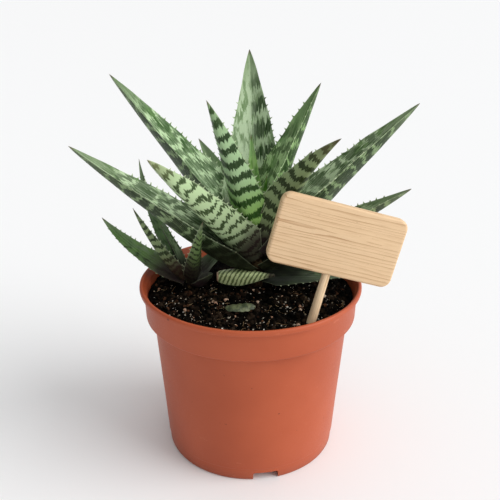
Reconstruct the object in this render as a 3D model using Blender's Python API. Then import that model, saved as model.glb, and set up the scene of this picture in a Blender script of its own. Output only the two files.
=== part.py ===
"""Potted aloe: a rosette of banded, toothed leaves with a pup beside it, in a plastic pot of soil,
with a blank wooden plant label. Sizes below are in millimetres and degrees; the mesh is in metres.
The origin is on the pot's axis, on the surface that the pot stands on, with +Z up and -Y in front."""

import random
from collections import namedtuple
from math import cos, pi, radians, sin, sqrt

import bmesh
import bpy
from mathutils import Matrix, Vector
from mathutils.bvhtree import BVHTree

MM = 0.001
GAP = 0.35

# Pot: a 12 cm moulded pot with a collar, a rolled lip, a raised floor and a slotted foot ring.
POT_HEIGHT = 97.0
POT_SIDES = 44
LIP_RADIUS = 60.0
LIP_WIDTH = 2.1
LIP_DEPTH = 2.8
COLLAR_TOP_RADIUS = 57.7
COLLAR_FOOT_RADIUS = 57.1
COLLAR_FOOT_Z = 79.2
BODY_TOP_RADIUS = 53.1
FOOT_RADIUS = 46.9
FOOT_RING_WIDTH = 6.0
WALL = 1.3
FLOOR_UNDERSIDE_Z = 5.2
FLOOR_TOP_Z = 7.2
SLOT_COUNT = 3
SLOT_WIDTH = 13.6
SLOT_HEIGHT = 4.6
FIRST_SLOT_TURN = -80.0
DRAIN_COUNT = 6
DRAIN_RADIUS = 3.5
DRAIN_CIRCLE = 26.0

# Soil: filled to 7 mm under the lip and a little higher in the middle.
SOIL_EDGE_Z = 89.0
SOIL_MOUND = 1.5
SOIL_LUMP = 0.6
SOIL_RINGS = (8.0, 16.0, 24.0, 31.0, 38.0, 44.0, 50.0)
PERLITE_COUNT = 16
PERLITE_SEED = 7

# Stems: both stand in plain holes in the soil.
Stem = namedtuple("Stem", "x y foot top foot_radius top_radius")
STEM = Stem(3.0, 6.0, 66.0, 130.0, 4.6, 2.6)
PUP_STEM = Stem(-33.0, 5.0, 70.0, 97.0, 2.8, 1.9)
STEM_SIDES = 12

# Leaves: margin teeth at true size, set wider apart than on the plant.
TOOTH_LENGTH = 1.7
TOOTH_BASE = 1.8
TOOTH_PITCH = 5.6
FIRST_TOOTH = 0.2
LAST_TOOTH = 0.93
TOOTH_LEAN = 0.35
SMALLEST_TOOTH = 0.45
FULL_TOOTH_ARM = 8.0
CENTRELINE_STEPS = 60
ROOT_REACH = 3.6

# A leaf's outline: a narrow neck, widest near a fifth of the length, then a taper to the tip.
RING_SHARES = (0.0, 0.08, 0.17, 0.28, 0.4, 0.53, 0.66, 0.79, 0.91, 1.0)
NECK_SHARE = 0.18
NECK_WIDTH = 0.5
WIDEST = 1.13
TAPER_POWER = 0.85

# A leaf's section: two arms that meet in a rounded channel above and a keel below.
CHANNEL_ROUND = 0.25
THIN_TO_MARGIN = 0.7
THIN_TO_TIP = 0.8

# Label: a rounded board on a round stake that is pushed into the soil beside the pot's wall.
STAKE_X = 30.3
STAKE_Y = -36.7
STAKE_SOIL_Z = 90.0
STAKE_SUNK = 40.0
STAKE_SIDES = 12
STAKE_SOIL_RADIUS = 2.6
STAKE_TOP_RADIUS = 2.1
STAKE_POINT = 9.0
STAKE_IN_BOARD = 11.0
BOARD_YAW = 6.0
BOARD_LEAN = -6.0
BOARD_ROLL = 16.0
BOARD_LENGTH = 64.0
BOARD_HEIGHT = 35.2
BOARD_THICK = 6.2
BOARD_CORNER = 4.8
BOARD_EDGE_ROUND = 1.1
BOARD_RISE = 44.0

# Leaf scrap: a torn bit of leaf that lies on the soil in front.
SCRAP_X = -5.5
SCRAP_Y = -25.0
SCRAP_LENGTH = 15.0
SCRAP_WIDTH = 9.5
SCRAP_THICK = 1.6

# One row a leaf: the height of its root, the way it points from the stem (0 is +X, 90 is away from
# the front), its rise, how its rise and its turn change by the tip, its length, the width of one arm
# of its folded section, how far each arm is folded up, its roll about its own length, its thickness
# at the keel, the stem that it grows from, and the share of its length at which it is cut off.
Leaf = namedtuple("Leaf", "name z turn rise curl sweep length arm fold roll thick stem cut")
MAIN = (STEM.x, STEM.y)
PUP = (PUP_STEM.x, PUP_STEM.y)
FRONT = (16.5, -0.5)

# From the heart of each rosette outwards.
LEAVES = (
    Leaf("leaf_heart_young", 134, 112, 84, 0, 0, 40, 6, 35, 0, 2.0, MAIN, 1.0),
    Leaf("leaf_heart_bud", 133, -20, 84, 0, 0, 22, 4, 35, 0, 1.6, MAIN, 1.0),
    Leaf("leaf_back_tall", 126, 91, 59, 0, 6, 99, 20, 27, -16, 4.0, MAIN, 1.0),
    Leaf("leaf_right_upper", 125, 17, 69, -5, 10, 81, 19, 47, 2, 4.0, MAIN, 1.0),
    Leaf("leaf_left_upright", 121, 240, 66, -8, 0, 90, 14, 33, 7, 4.0, MAIN, 1.0),
    Leaf("leaf_left_upper", 115, 158, 46, -2, -6, 120, 21, 43, 0, 6.0, MAIN, 1.0),
    Leaf("leaf_right_front", 114, -40, 68, -28, -5, 85, 16, 35, -28, 4.0, MAIN, 1.0),
    Leaf("leaf_right_long", 110, 13, 42, -2, 6, 116.5, 21, 45, 0, 7.0, MAIN, 1.0),
    Leaf("leaf_left_front", 107, 215, 51, -15, 35, 105, 17, 34, 20, 4.5, MAIN, 1.0),
    Leaf("leaf_rear_left", 110, 122, 42, -4, 0, 78, 17, 40, 0, 5.0, MAIN, 1.0),
    Leaf("leaf_rear_right", 106, 58, 38, 0, 0, 76, 17, 40, 0, 5.0, MAIN, 1.0),
    Leaf("leaf_left_long", 102, 196, 37, 2.5, -12.5, 115.5, 19, 41, -14, 7.0, MAIN, 1.0),
    Leaf("leaf_right_low", 102, -6, 29, 5, 0, 90, 17, 45, 8, 5.5, MAIN, 1.0),
    Leaf("leaf_rear_low", 99, 92, 24, 6, 0, 57, 15, 38, 0, 5.0, MAIN, 1.0),
    Leaf("leaf_front_stub", 99.4, 183, 1, 0, 0, 60, 8.2, 40, 132, 3.4, FRONT, 0.52),
    Leaf("leaf_soil_right", 96, -4, 2, 2, 3, 54, 11, 18, 20, 4.0, MAIN, 1.0),
    Leaf("pup_leaf_tall", 96, 137, 40, 1, -33, 80, 6, 34, -20, 2.6, PUP, 1.0),
    Leaf("pup_leaf_front", 93, 286, 62, -3, 6, 52, 6.5, 36, 3, 2.4, PUP, 1.0),
    Leaf("pup_leaf_left_upper", 95, 182, 50, 18, 18, 50, 7, 30, 30, 2.6, PUP, 1.0),
    Leaf("pup_leaf_dark", 95, 138, 59, -14, 0, 33, 5, 42, 9, 2.0, PUP, 1.0),
    Leaf("pup_leaf_left_low", 93, 168, 24, 4, -34, 63, 9, 32, -20, 3.0, PUP, 1.0),
    Leaf("pup_leaf_right_stub", 93, 40, 34, 0, 0, 40, 8, 30, 0, 3.0, PUP, 0.62),
    Leaf("pup_leaf_right_low", 92, -34, 34, 14, 0, 20, 7, 34, 10, 2.6, PUP, 0.76),
)

TERRACOTTA = (0.52, 0.17, 0.09)
SOIL_BROWN = (0.03, 0.022, 0.018)
STEM_BROWN = (0.16, 0.12, 0.06)
LEAF_GREEN = (0.12, 0.26, 0.10)
PUP_GREEN = (0.09, 0.20, 0.07)
PALE_WOOD = (0.68, 0.47, 0.27)


def clear_scene():
    for obj in list(bpy.data.objects):
        bpy.data.objects.remove(obj, do_unlink=True)


def linked(name, mesh):
    """A named object for the mesh, in the scene."""
    obj = bpy.data.objects.new(name, mesh)
    bpy.context.scene.collection.objects.link(obj)
    return obj


def finish(name, mesh, colour, roughness, smooth_angle=35.0):
    """An object with its own material and its round faces shaded smooth."""
    obj = linked(name, mesh)
    material = bpy.data.materials.new(name + "_finish")
    material.use_nodes = True
    shader = material.node_tree.nodes["Principled BSDF"]
    shader.inputs["Base Color"].default_value = (*colour, 1.0)
    shader.inputs["Roughness"].default_value = roughness
    shader.inputs["Metallic"].default_value = 0.0
    mesh.materials.append(material)
    mesh.shade_smooth()
    mesh.set_sharp_from_angle(angle=radians(smooth_angle))
    return obj


def mesh_from(name, points, faces):
    """A mesh in metres from points in millimetres, with its faces turned outwards."""
    mesh = bpy.data.meshes.new(name)
    mesh.from_pydata([Vector(p) * MM for p in points], [], faces)
    body = bmesh.new()
    body.from_mesh(mesh)
    bmesh.ops.recalc_face_normals(body, faces=body.faces)
    body.to_mesh(mesh)
    body.free()
    return mesh


def turned(name, profile, sides):
    """A closed solid of revolution about Z. The profile runs from the axis round to the axis."""
    points = [(0.0, 0.0, profile[0][1])]
    for radius, z in profile[1:-1]:
        for k in range(sides):
            angle = 2 * pi * k / sides
            points.append((radius * cos(angle), radius * sin(angle), z))
    points.append((0.0, 0.0, profile[-1][1]))
    rings = len(profile) - 2
    last = len(points) - 1
    faces = []
    for k in range(sides):
        after = (k + 1) % sides
        faces.append((0, 1 + k, 1 + after))
        for ring in range(rings - 1):
            low = 1 + ring * sides
            faces.append((low + k, low + sides + k, low + sides + after, low + after))
        top = 1 + (rings - 1) * sides
        faces.append((top + after, top + k, last))
    return mesh_from(name, points, faces)


def apply_boolean(obj, operation, cutter=None, collection=None, solver="EXACT"):
    """Applies one Boolean and removes what it used."""
    modifier = obj.modifiers.new("joint", "BOOLEAN")
    modifier.operation = operation
    modifier.solver = solver
    if collection:
        modifier.operand_type = "COLLECTION"
        modifier.collection = collection
        used = list(collection.objects)
    else:
        modifier.object = cutter
        used = [cutter]
    bpy.context.view_layer.objects.active = obj
    bpy.ops.object.modifier_apply(modifier=modifier.name)
    for other in used:
        bpy.data.objects.remove(other, do_unlink=True)
    if collection:
        bpy.data.collections.remove(collection)


def cutter_cylinder(radius, start, end, sides):
    """A cylinder between two points, as a Boolean's cutter."""
    start, end = Vector(start), Vector(end)
    axis = end - start
    mesh = bpy.data.meshes.new("cutter")
    body = bmesh.new()
    turn = axis.to_track_quat("Z", "Y").to_matrix().to_4x4()
    place = Matrix.Translation((start + end) / 2) @ turn
    bmesh.ops.create_cone(
        body,
        cap_ends=True,
        segments=sides,
        radius1=radius,
        radius2=radius,
        depth=axis.length,
        matrix=place,
    )
    body.to_mesh(mesh)
    body.free()
    mesh.transform(Matrix.Scale(MM, 4))
    return linked("cutter", mesh)


def cutter_box(size, place):
    mesh = bpy.data.meshes.new("cutter")
    body = bmesh.new()
    bmesh.ops.create_cube(body, size=1.0, matrix=place @ Matrix.Diagonal((*size, 1.0)))
    body.to_mesh(mesh)
    body.free()
    mesh.transform(Matrix.Scale(MM, 4))
    return linked("cutter", mesh)


def inner_wall():
    """The pot's inside, from the lip down, as (radius, z) pairs."""
    return (
        (LIP_RADIUS - LIP_WIDTH, POT_HEIGHT - 0.8),
        (COLLAR_TOP_RADIUS - WALL, POT_HEIGHT - LIP_DEPTH),
        (COLLAR_FOOT_RADIUS - WALL, COLLAR_FOOT_Z + WALL),
        (BODY_TOP_RADIUS - WALL, COLLAR_FOOT_Z + 0.4),
        (FOOT_RADIUS - WALL + 0.2, FLOOR_TOP_Z + 1.5),
        (FOOT_RADIUS - WALL - 1.3, FLOOR_TOP_Z),
    )


def make_pot():
    outside = [
        (0.0, FLOOR_UNDERSIDE_Z),
        (FOOT_RADIUS - FOOT_RING_WIDTH - 1.4, FLOOR_UNDERSIDE_Z),
        (FOOT_RADIUS - FOOT_RING_WIDTH, 0.0),
        (FOOT_RADIUS - 0.7, 0.0),
        (FOOT_RADIUS, 0.8),
        (BODY_TOP_RADIUS, COLLAR_FOOT_Z - 1.0),
        (COLLAR_FOOT_RADIUS, COLLAR_FOOT_Z),
        (COLLAR_TOP_RADIUS, POT_HEIGHT - LIP_DEPTH - 0.9),
        (LIP_RADIUS, POT_HEIGHT - LIP_DEPTH),
        (LIP_RADIUS, POT_HEIGHT - 0.8),
        (LIP_RADIUS - 0.7, POT_HEIGHT),
        (LIP_RADIUS - LIP_WIDTH + 0.6, POT_HEIGHT),
    ]
    profile = outside + list(inner_wall()) + [(0.0, FLOOR_TOP_Z)]
    pot = finish("pot", turned("pot", profile, POT_SIDES), TERRACOTTA, 0.55)
    for k in range(SLOT_COUNT):
        turn = Matrix.Rotation(radians(FIRST_SLOT_TURN + k * 360 / SLOT_COUNT), 4, "Z")
        place = turn @ Matrix.Translation((FOOT_RADIUS, 0.0, 0.0))
        slot = cutter_box((3 * FOOT_RING_WIDTH, SLOT_WIDTH, 2 * SLOT_HEIGHT), place)
        apply_boolean(pot, "DIFFERENCE", slot)
    for k in range(DRAIN_COUNT):
        angle = radians(FIRST_SLOT_TURN + (k + 0.5) * 360 / DRAIN_COUNT)
        x = DRAIN_CIRCLE * cos(angle)
        y = DRAIN_CIRCLE * sin(angle)
        low = (x, y, FLOOR_UNDERSIDE_Z - 2)
        high = (x, y, FLOOR_TOP_Z + 2)
        drain = cutter_cylinder(DRAIN_RADIUS, low, high, 12)
        apply_boolean(pot, "DIFFERENCE", drain)


def soil_height(x, y):
    """Height of the soil's surface: a low mound with lumps."""
    reach = sqrt(x * x + y * y) / LIP_RADIUS
    lumps = sin(0.37 * x + 0.9) * cos(0.29 * y + 0.4) + 0.6 * sin(0.21 * x - 0.33 * y)
    return SOIL_EDGE_Z + SOIL_MOUND * (1 - reach * reach) + SOIL_LUMP * lumps


def soil_edge_radius():
    """The soil's radius where it meets the collar's inside."""
    walls = inner_wall()
    (r_high, z_high), (r_low, z_low) = walls[1], walls[2]
    share = (SOIL_EDGE_Z - z_low) / (z_high - z_low)
    return r_low + share * (r_high - r_low) - GAP - 0.1


def make_soil():
    side = [(r - GAP - 0.1, z) for r, z in inner_wall()[2:5]]
    bottom = FLOOR_TOP_Z + GAP
    radii = list(SOIL_RINGS) + [soil_edge_radius()]
    profile = [(0.0, SOIL_EDGE_Z)] + [(r, SOIL_EDGE_Z) for r in radii]
    profile += side + [(side[-1][0] - 1.6, bottom), (0.0, bottom)]
    mesh = turned("soil", profile, POT_SIDES)
    for vertex in mesh.vertices:
        if vertex.co.z > (SOIL_EDGE_Z - 0.01) * MM:
            vertex.co.z = soil_height(vertex.co.x / MM, vertex.co.y / MM) * MM
    soil = finish("soil", mesh, SOIL_BROWN, 0.95, smooth_angle=80.0)
    for stem in (STEM, PUP_STEM):
        foot = (stem.x, stem.y, stem.foot - GAP)
        top = (stem.x, stem.y, POT_HEIGHT)
        hole = cutter_cylinder(stem.foot_radius + 2 * GAP, foot, top, 16)
        apply_boolean(soil, "DIFFERENCE", hole)
    foot = stake_point(-STAKE_SUNK - GAP)
    hole = cutter_cylinder(STAKE_SOIL_RADIUS + 2 * GAP, foot, stake_point(10.0), 16)
    apply_boolean(soil, "DIFFERENCE", hole)
    add_perlite(soil)


def add_perlite(soil):
    """Coarse grains, sunk half into the soil and joined to it."""
    grains = bpy.data.collections.new("grains")
    bpy.context.scene.collection.children.link(grains)
    rng = random.Random(PERLITE_SEED)
    placed = []
    while len(placed) < PERLITE_COUNT:
        angle = rng.uniform(-pi, 0.05 * pi)
        reach = rng.uniform(28.0, 51.0)
        x = reach * cos(angle)
        y = reach * sin(angle)
        radius = rng.uniform(1.0, 1.9)
        taken = [(SCRAP_X, SCRAP_Y, 11.0), (STAKE_X, STAKE_Y, 7.0)] + placed
        if any((x - px) ** 2 + (y - py) ** 2 < (radius + pr + 2) ** 2 for px, py, pr in taken):
            continue
        placed.append((x, y, radius))
        mesh = bpy.data.meshes.new("grain")
        body = bmesh.new()
        place = Matrix.Translation((x, y, soil_height(x, y) + 0.1 * radius))
        bmesh.ops.create_icosphere(body, subdivisions=1, radius=radius, matrix=place)
        body.to_mesh(mesh)
        body.free()
        mesh.transform(Matrix.Scale(MM, 4))
        grains.objects.link(bpy.data.objects.new("grain", mesh))
    apply_boolean(soil, "UNION", collection=grains)


def stem_mesh(name, stem, grow=0.0):
    """A tapered stem. Grown, it is a cutter."""
    foot = stem.foot - grow
    top = stem.top + grow
    foot_radius = stem.foot_radius + 1.2 * grow
    top_radius = stem.top_radius + 1.2 * grow
    height = top - foot
    profile = [
        (0.0, foot),
        (0.6 * foot_radius, foot),
        (foot_radius, foot + 1.5),
        (0.5 * (foot_radius + top_radius) + 0.3, foot + 0.6 * height),
        (top_radius, top - 1.0),
        (0.5 * top_radius, top),
        (0.0, top),
    ]
    mesh = turned(name, profile, STEM_SIDES)
    mesh.transform(Matrix.Translation((stem.x * MM, stem.y * MM, 0.0)))
    return mesh


def centreline(leaf, share):
    """The point at a share of the leaf's length."""
    start = radians(leaf.turn)
    x = leaf.stem[0] + ROOT_REACH * cos(start)
    y = leaf.stem[1] + ROOT_REACH * sin(start)
    point = Vector((x, y, leaf.z))
    steps = max(1, round(CENTRELINE_STEPS * share))
    for k in range(steps):
        point += heading(leaf, share * (k + 0.5) / steps) * (leaf.length * share / steps)
    return point


def heading(leaf, share):
    rise = radians(leaf.rise + leaf.curl * share)
    turn = radians(leaf.turn + leaf.sweep * share)
    return Vector((cos(rise) * cos(turn), cos(rise) * sin(turn), sin(rise)))


def leaf_axes(leaf, share):
    """The sideways and upper directions of the section, rolled about the leaf's length."""
    along = heading(leaf, share)
    turn = radians(leaf.turn + leaf.sweep * share)
    side = Vector((-sin(turn), cos(turn), 0.0))
    upper = along.cross(side)
    roll = radians(leaf.roll)
    return side * cos(roll) + upper * sin(roll), upper * cos(roll) - side * sin(roll)


def arm_width(leaf, share):
    """Width of one arm of the section."""
    rising = min(1.0, share / NECK_SHARE)
    neck = NECK_WIDTH + (1 - NECK_WIDTH) * rising * rising * (3 - 2 * rising)
    return leaf.arm * WIDEST * neck * max(0.0, 1 - share) ** TAPER_POWER


def section_point(leaf, share, across, lower, grow):
    """A point of the folded section. across runs from -1 to 1, margin to margin."""
    width = arm_width(leaf, share)
    fold = radians(leaf.fold)
    lift = sqrt(across * across + CHANNEL_ROUND * CHANNEL_ROUND) - CHANNEL_ROUND
    x = across * width * cos(fold) + across * grow
    y = lift * width * sin(fold) + grow
    if lower:
        near_tip = min(1.0, (width / leaf.arm) ** THIN_TO_TIP)
        near_margin = (1 - across * across) ** THIN_TO_MARGIN
        y -= leaf.thick * near_tip * near_margin + 2 * grow
    side, upper = leaf_axes(leaf, share)
    beyond = 2 * grow * ((share >= leaf.cut) - (share <= 0.0))
    return centreline(leaf, share) + side * x + upper * y + heading(leaf, share) * beyond


def tooth_shares(leaf):
    last = min(LAST_TOOTH, leaf.cut - 0.04)
    count = max(2, round((last - FIRST_TOOTH) * leaf.length / TOOTH_PITCH))
    return [FIRST_TOOTH + (last - FIRST_TOOTH) * k / (count - 1) for k in range(count)]


def outward(leaf, share, edge):
    """The direction in which the middle plane of the blade runs out at a margin."""
    margin = section_point(leaf, share, edge, False, 0.0)
    above = section_point(leaf, share, edge / 2, False, 0.0)
    below = section_point(leaf, share, edge / 2, True, 0.0)
    return (margin - (above + below) / 2).normalized()


def tooth_tip(leaf, share, edge):
    """The tip of a tooth, which leans a little towards the leaf's tip."""
    full = min(1.0, arm_width(leaf, share) / FULL_TOOTH_ARM)
    size = TOOTH_LENGTH * (SMALLEST_TOOTH + (1 - SMALLEST_TOOTH) * full)
    aim = (outward(leaf, share, edge) + heading(leaf, share) * TOOTH_LEAN).normalized()
    return section_point(leaf, share, edge, False, 0.0) + aim * size


def toothed_margin(leaf, edge):
    """The margin from root to tip as (share, point) pairs. A tooth is three points."""
    half = 0.5 * TOOTH_BASE / leaf.length
    teeth = tooth_shares(leaf)
    plain = [share for share in ring_shares(leaf) if share < teeth[0] - 2 * half]
    if leaf.cut < 1.0:
        plain.append(leaf.cut)
    rows = [(share, section_point(leaf, share, edge, False, 0.0)) for share in plain]
    for share in teeth:
        rows.append((share, tooth_tip(leaf, share, edge)))
        for base in (share - half, share + half):
            rows.append((base, section_point(leaf, base, edge, False, 0.0)))
    return sorted(rows, key=lambda row: row[0])


def grown_margin(leaf, edge, grow):
    """The margin of a cutter, wide enough to take in the teeth."""
    shares = ring_shares(leaf)
    if leaf.cut == 1.0:
        shares = shares[:-1]
    rows = []
    for share in shares:
        margin = section_point(leaf, share, edge, False, grow)
        rows.append((share, margin + outward(leaf, share, edge) * 1.2 * TOOTH_LENGTH))
    return rows


def ring_shares(leaf):
    return [leaf.cut * share for share in RING_SHARES]


def stitch(faces, first, second):
    """Triangles between two rows of (share, index) pairs that start and end together."""
    i = j = 0
    while i + 1 < len(first) or j + 1 < len(second):
        left = first[i + 1][0] if i + 1 < len(first) else 9.0
        right = second[j + 1][0] if j + 1 < len(second) else 9.0
        if left <= right:
            corner = first[i + 1][1]
            i += 1
            triangle = (first[i - 1][1], corner, second[j][1])
        else:
            corner = second[j + 1][1]
            j += 1
            triangle = (first[i][1], corner, second[j - 1][1])
        if len(set(triangle)) == 3:
            faces.append(triangle)


def leaf_mesh(leaf, toothed=True, grow=0.0):
    """A leaf as one closed solid: eight rows of points from root to tip, the first and the fifth
    of them its margins. A grown leaf has no teeth, and is a cutter."""
    points = []
    pointed = leaf.cut == 1.0
    shares = ring_shares(leaf)
    upper = [(1, False), (0.5, False), (0, False), (-0.5, False), (-1, False)]
    under = [(-0.5, True), (0, True), (0.5, True)]
    rows = []
    for across, lower in upper + under:
        if abs(across) == 1:
            row = toothed_margin(leaf, across) if toothed else grown_margin(leaf, across, grow)
        else:
            inner = shares[:-1] if pointed else shares
            row = [(s, section_point(leaf, s, across, lower, grow)) for s in inner]
        numbered = []
        for share, point in row:
            numbered.append((share, len(points)))
            points.append(point)
        rows.append(numbered)
    faces = []
    if pointed:
        points.append(centreline(leaf, 1.0) + heading(leaf, 1.0) * grow)
        for row in rows:
            row.append((1.0, len(points) - 1))
    for k, row in enumerate(rows):
        stitch(faces, row, rows[(k + 1) % len(rows)])
    root = [row[0][1] for row in rows]
    faces += [(root[0], root[1], root[7]), (root[1], root[2], root[6], root[7])]
    faces += [(root[2], root[3], root[5], root[6]), (root[3], root[4], root[5])]
    if not pointed:
        end = [row[-1][1] for row in rows]
        faces += [(end[0], end[1], end[7]), (end[1], end[2], end[6], end[7])]
        faces += [(end[2], end[3], end[5], end[6]), (end[3], end[4], end[5])]
    return mesh_from(leaf.name, points, faces)


def surface_tree(mesh):
    points = [vertex.co for vertex in mesh.vertices]
    return BVHTree.FromPolygons(points, [tuple(face.vertices) for face in mesh.polygons])


def keep_largest_body(mesh):
    """Drops the scraps that a cut leaves loose."""
    body = bmesh.new()
    body.from_mesh(mesh)
    bmesh.ops.triangulate(body, faces=body.faces)
    left = set(body.verts)
    islands = []
    while left:
        island = {left.pop()}
        front = set(island)
        while front:
            near = {e.other_vert(v) for v in front for e in v.link_edges} - island
            island |= near
            front = near
        left -= island
        islands.append(island)
    islands.sort(key=len)
    for island in islands[:-1]:
        bmesh.ops.delete(body, geom=list(island), context="VERTS")
    body.to_mesh(mesh)
    body.free()


def make_plant():
    """Stems and leaves, from the heart outwards. Each leaf is pressed against those inside it."""
    finish("stem", stem_mesh("stem", STEM), STEM_BROWN, 0.8)
    finish("pup_stem", stem_mesh("pup_stem", PUP_STEM), STEM_BROWN, 0.8)
    grown = [stem_mesh("inside", stem, grow=GAP) for stem in (STEM, PUP_STEM)]
    for leaf in LEAVES:
        colour = PUP_GREEN if leaf.stem == PUP else LEAF_GREEN
        obj = finish(leaf.name, leaf_mesh(leaf), colour, 0.45)
        for inner in grown:
            if surface_tree(obj.data).overlap(surface_tree(inner)):
                cutter = linked("cutter", inner.copy())
                apply_boolean(obj, "DIFFERENCE", cutter, solver="MANIFOLD")
                keep_largest_body(obj.data)
        grown.append(leaf_mesh(leaf, toothed=False, grow=GAP))


def label_turn():
    yaw = Matrix.Rotation(radians(BOARD_YAW), 4, "Z")
    lean = Matrix.Rotation(radians(BOARD_LEAN), 4, "X")
    roll = Matrix.Rotation(radians(BOARD_ROLL), 4, "Y")
    return yaw @ lean @ roll


def stake_point(along):
    """A point on the stake's axis, so far above the place where it enters the soil."""
    up = label_turn() @ Vector((0.0, 0.0, 1.0))
    return Vector((STAKE_X, STAKE_Y, STAKE_SOIL_Z)) + up * along


def make_label():
    half_x = BOARD_LENGTH / 2 - BOARD_CORNER
    half_z = BOARD_HEIGHT / 2 - BOARD_CORNER
    outline = []
    for quarter, (cx, cz) in enumerate(((1, 1), (-1, 1), (-1, -1), (1, -1))):
        for k in range(5):
            angle = (quarter + k / 4) * pi / 2
            x = cx * half_x + BOARD_CORNER * cos(angle)
            z = cz * half_z + BOARD_CORNER * sin(angle)
            outline.append((x, z))
    mesh = bpy.data.meshes.new("label_board")
    body = bmesh.new()
    front = [body.verts.new((x * MM, -BOARD_THICK / 2 * MM, z * MM)) for x, z in outline]
    face = body.faces.new(front)
    extruded = bmesh.ops.extrude_face_region(body, geom=[face])["geom"]
    moved = [item for item in extruded if isinstance(item, bmesh.types.BMVert)]
    bmesh.ops.translate(body, verts=moved, vec=(0.0, BOARD_THICK * MM, 0.0))
    bmesh.ops.recalc_face_normals(body, faces=body.faces)
    rims = [edge for edge in body.edges if edge.verts[0].co.y * edge.verts[1].co.y > 0]
    offset = BOARD_EDGE_ROUND * MM
    bmesh.ops.bevel(body, geom=rims, offset=offset, segments=2, affect="EDGES", profile=0.5)
    body.to_mesh(mesh)
    body.free()
    place = Matrix.Translation(stake_point(BOARD_RISE) * MM) @ label_turn()
    mesh.transform(place)
    board = finish("label_board", mesh, PALE_WOOD, 0.6)
    bottom = BOARD_RISE - BOARD_HEIGHT / 2
    top = bottom + STAKE_IN_BOARD
    mouth = stake_point(bottom - 2)
    socket = cutter_cylinder(STAKE_TOP_RADIUS + GAP, mouth, stake_point(top + GAP), 16)
    apply_boolean(board, "DIFFERENCE", socket)
    profile = [
        (0.0, -STAKE_SUNK),
        (0.5, -STAKE_SUNK),
        (STAKE_SOIL_RADIUS, -STAKE_SUNK + STAKE_POINT),
        (STAKE_SOIL_RADIUS, 0.0),
        (STAKE_TOP_RADIUS, bottom - 3.0),
        (STAKE_TOP_RADIUS, top),
        (0.0, top),
    ]
    stake = turned("label_stake", profile, STAKE_SIDES)
    stake.transform(Matrix.Translation(stake_point(0.0) * MM) @ label_turn())
    finish("label_stake", stake, PALE_WOOD, 0.6)


def make_scrap():
    """A torn bit of leaf, a little arched, that follows the soil under it."""
    points = []
    count = 12
    for level in (0, 1):
        for ring in (0.0, 0.55, 1.0):
            for k in range(count if ring else 1):
                angle = 2 * pi * k / count
                ragged = 1.0 + (0.13 * (-1) ** k if cos(angle) > 0.3 else 0.0)
                x = SCRAP_X + 0.5 * SCRAP_LENGTH * ring * ragged * cos(angle)
                y = SCRAP_Y + 0.5 * SCRAP_WIDTH * ring * sin(angle) * (1 - 0.25 * cos(angle))
                z = soil_height(x, y) + 0.8 + 1.2 * (1 - ring * ring)
                points.append((x, y, z + level * SCRAP_THICK * (1 - 0.45 * ring)))
    per_level = 1 + 2 * count
    faces = []
    for level in (0, per_level):
        for k in range(count):
            after = (k + 1) % count
            faces.append((level, level + 1 + k, level + 1 + after))
            inner, outer = level + 1, level + 1 + count
            faces.append((inner + k, outer + k, outer + after, inner + after))
    rim = 1 + count
    for k in range(count):
        after = (k + 1) % count
        faces.append((rim + k, per_level + rim + k, per_level + rim + after, rim + after))
    finish("leaf_scrap", mesh_from("leaf_scrap", points, faces), PUP_GREEN, 0.6)


clear_scene()
make_pot()
make_soil()
make_plant()
make_label()
make_scrap()
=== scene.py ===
import random
from math import cos, pi, radians, sin, sqrt

import bmesh
import bpy
import numpy as np
from mathutils import Matrix, Vector, noise


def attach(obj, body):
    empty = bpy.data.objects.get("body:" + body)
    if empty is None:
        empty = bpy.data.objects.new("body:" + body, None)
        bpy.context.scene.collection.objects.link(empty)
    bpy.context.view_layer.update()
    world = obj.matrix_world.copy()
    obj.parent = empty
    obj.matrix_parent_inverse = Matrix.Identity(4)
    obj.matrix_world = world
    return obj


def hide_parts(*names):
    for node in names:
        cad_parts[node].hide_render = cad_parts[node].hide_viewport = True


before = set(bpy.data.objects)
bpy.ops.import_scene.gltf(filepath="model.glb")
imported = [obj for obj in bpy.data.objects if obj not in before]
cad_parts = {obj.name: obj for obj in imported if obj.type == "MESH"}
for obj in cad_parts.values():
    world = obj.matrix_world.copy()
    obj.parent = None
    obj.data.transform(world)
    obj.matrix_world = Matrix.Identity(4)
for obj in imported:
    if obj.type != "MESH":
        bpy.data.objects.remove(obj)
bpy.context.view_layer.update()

MM = 0.001


# The pot: one shell moulded in matte terracotta-coloured plastic. It has a rolled lip, a collar with
# a step under it, a tapered body, and a foot ring with three drainage notches round a raised floor.

POT_SIDES = 160
POT_OUTSIDE = (
    (38.6, 5.2), (39.6, 4.7), (40.5, 0.5), (41.0, 0.05), (41.3, 0.0), (45.9, 0.0), (46.5, 0.25), (46.9, 1.0),
    (47.34, 6.9), (47.42, 7.2), (47.62, 7.35), (47.7, 7.6), (49.3, 30.0), (51.2, 54.0), (52.95, 76.4),
    (53.1, 77.4), (53.4, 78.1), (54.0, 78.45), (56.0, 78.75), (56.7, 78.95), (57.05, 79.4), (57.15, 80.0),
    (57.6, 92.6), (57.75, 93.3), (58.2, 93.75), (59.4, 94.05), (59.85, 94.35), (60.0, 94.9), (60.0, 95.9),
    (59.85, 96.5), (59.4, 96.9), (58.8, 97.0), (58.3, 96.85), (57.95, 96.4), (57.8, 95.8),
)
POT_INSIDE = (
    (56.5, 93.9), (56.35, 93.0), (55.8, 80.7), (55.5, 80.2), (51.9, 79.75), (51.7, 79.2),
    (48.6, 38.0), (45.75, 9.0), (45.2, 7.8), (44.0, 7.25), (42.5, 7.2),
)


def deselect_all():
    if bpy.context.mode != "OBJECT":
        bpy.ops.object.mode_set(mode="OBJECT")
    bpy.ops.object.select_all(action="DESELECT")


def keep(piece, node):
    """The piece rides on the plant's one body and stands for its node."""
    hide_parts(node)
    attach(piece, "root")


def new_material(name):
    material = bpy.data.materials.new(name)
    material.use_nodes = True
    tree = material.node_tree
    return material, tree, tree.nodes["Principled BSDF"]


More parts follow.
